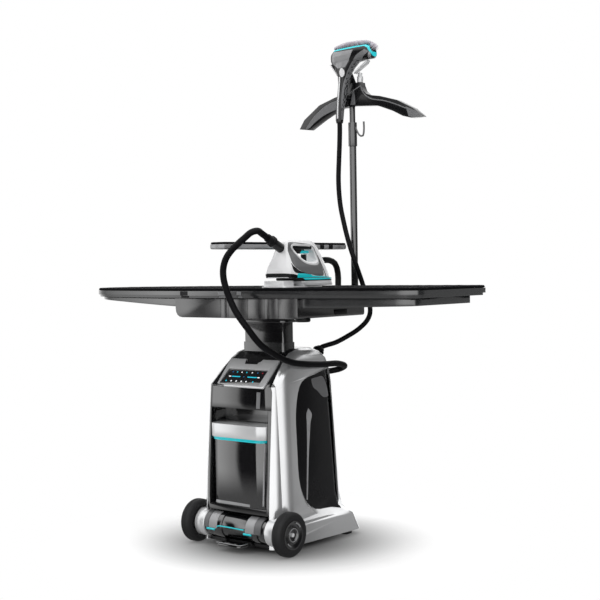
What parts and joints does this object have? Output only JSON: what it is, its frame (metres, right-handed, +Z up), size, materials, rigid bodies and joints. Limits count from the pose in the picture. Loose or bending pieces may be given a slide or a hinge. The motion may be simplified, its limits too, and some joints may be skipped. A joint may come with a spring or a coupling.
{
  "type": "steam ironing station",
  "caption": "Wheeled steam tower with a pull-out water tank, a telescopic column with a long ironing board, a steam iron, a sleeve board and a pole with a garment hanger and hand steamer.",
  "frame": {"origin": "middle of the underside of the whole, on the floor, hoses left out", "axes": "+Z up, -Y to the front where the tank draws out, +X to the square end of the ironing board"},
  "size_m": [1.3994, 0.6, 1.5411],
  "materials": {
    "silver": "satin silver paint",
    "dark_gloss": "high gloss black",
    "grey_gloss": "gloss dark grey",
    "matt_black": "fine matt",
    "hose_rubber": "matt",
    "tyre_rubber": "matt",
    "steel": "brushed",
    "teal": "gloss",
    "smoked": "smoked clear plastic",
    "circuit": "satin",
    "brass": "satin",
    "cloth": "woven"
  },
  "bodies": {
    "tower": {"chassis_tray": "matt_black", "side_shell_left": "silver", "side_shell_right": "silver", "side_panel_left": "dark_gloss", "side_panel_right": "dark_gloss", "axle_collar_left": "silver", "axle_collar_right": "silver", "front_frame": "dark_gloss", "upper_shell": "dark_gloss", "rear_cover": "matt_black", "rear_skirt": "silver", "control_bezel": "silver", "display_glass": "dark_gloss", "control_board": "circuit", "boiler": "steel", "steam_valve": "brass", "water_pump": "matt_black", "tank_coupler": "brass", "axle_shaft": "steel", "axle_housing": "grey_gloss", "iron_hose_gland": "matt_black", "handset_hose_gland": "matt_black", "column_sleeve": "grey_gloss", "iron_hose": "hose_rubber", "handset_hose": "hose_rubber"},
    "wheel_left": {"tyre_left": "tyre_rubber", "wheel_hub_left": "dark_gloss"},
    "wheel_right": {"tyre_right": "tyre_rubber", "wheel_hub_right": "dark_gloss"},
    "pedal": {"foot_pedal": "dark_gloss"},
    "tank": {"water_tank": "smoked", "tank_trim": "teal", "tank_lid": "silver"},
    "board": {"inner_column": "dark_gloss", "head_flange": "dark_gloss", "board_block": "dark_gloss", "block_latch": "matt_black", "block_cap": "matt_black", "board_tray": "grey_gloss", "board_rim": "grey_gloss", "board_pad": "cloth", "rear_bracket": "matt_black", "iron_rest": "silver", "pole_lower": "matt_black", "pole_collar": "matt_black"},
    "sleeve_board": {"sleeve_arm": "matt_black", "sleeve_body": "grey_gloss", "sleeve_pad": "cloth"},
    "mast": {"pole_upper": "matt_black"},
    "hanger": {"hanger_body": "matt_black", "hanger_neck": "silver"},
    "handset": {"handset_body": "matt_black", "handset_trim": "teal", "handset_face": "dark_gloss"},
    "handset_lever": {"handset_trigger": "silver"},
    "iron": {"iron_soleplate": "steel", "iron_trim": "teal", "iron_body": "silver", "iron_hose_boot": "matt_black"},
    "iron_button": {"iron_trigger": "teal"}
  },
  "joints": [
    {"name": "wheel_left_spin", "type": "hinge", "parent": "tower", "child": "wheel_left", "pos_m": [-0.1527, -0.13, 0.066], "axis": [1, 0, 0], "continuous": true},
    {"name": "wheel_right_spin", "type": "hinge", "parent": "tower", "child": "wheel_right", "pos_m": [0.2133, -0.13, 0.066], "axis": [1, 0, 0], "continuous": true},
    {"name": "pedal_press", "type": "hinge", "parent": "tower", "child": "pedal", "pos_m": [0.0303, -0.14661, 0.02], "axis": [1, 0, 0], "range_deg": [0, 12], "stiffness_Nm_per_rad": 2, "springref_deg": -11.46},
    {"name": "tank_draw", "type": "slide", "parent": "tower", "child": "tank", "axis": [0, -1, 0], "range_m": [0, 0.15]},
    {"name": "column_lift", "type": "slide", "parent": "tower", "child": "board", "axis": [0, 0, 1], "range_m": [-0.055, 0.12], "deforming": ["iron_hose", "handset_hose"]},
    {"name": "sleeve_swing", "type": "hinge", "parent": "board", "child": "sleeve_board", "pos_m": [0.0953, 0.284, 0.8], "axis": [0, 0, 1], "range_deg": [-95, 4]},
    {"name": "mast_slide", "type": "slide", "parent": "board", "child": "mast", "axis": [0, 0, 1], "range_m": [-0.04, 0.2], "deforming": ["handset_hose"]},
    {"name": "hanger_turn", "type": "hinge", "parent": "mast", "child": "hanger", "pos_m": [0.1803, 0.26, 1.37], "axis": [0, 0, 1], "range_deg": [-60, 25], "deforming": ["handset_hose"]},
    {"name": "handset_lift_off", "type": "slide", "parent": "hanger", "child": "handset", "axis": [0, -1, 0], "range_m": [0, 0.1], "deforming": ["handset_hose"]},
    {"name": "handset_squeeze", "type": "hinge", "parent": "handset", "child": "handset_lever", "pos_m": [0.27027, 0.22, 1.48603], "axis": [0, 1, 0], "range_deg": [0, 6], "stiffness_Nm_per_rad": 1, "springref_deg": -11.46},
    {"name": "iron_lift_off", "type": "slide", "parent": "board", "child": "iron", "axis": [0, 0, 1], "range_m": [0, 0.15], "deforming": ["iron_hose"]},
    {"name": "iron_steam_trigger", "type": "slide", "parent": "iron", "child": "iron_button", "axis": [0, 0, 1], "range_m": [0, 0.004], "stiffness_N_per_m": 800, "springref_m": -0.004}
  ]
}
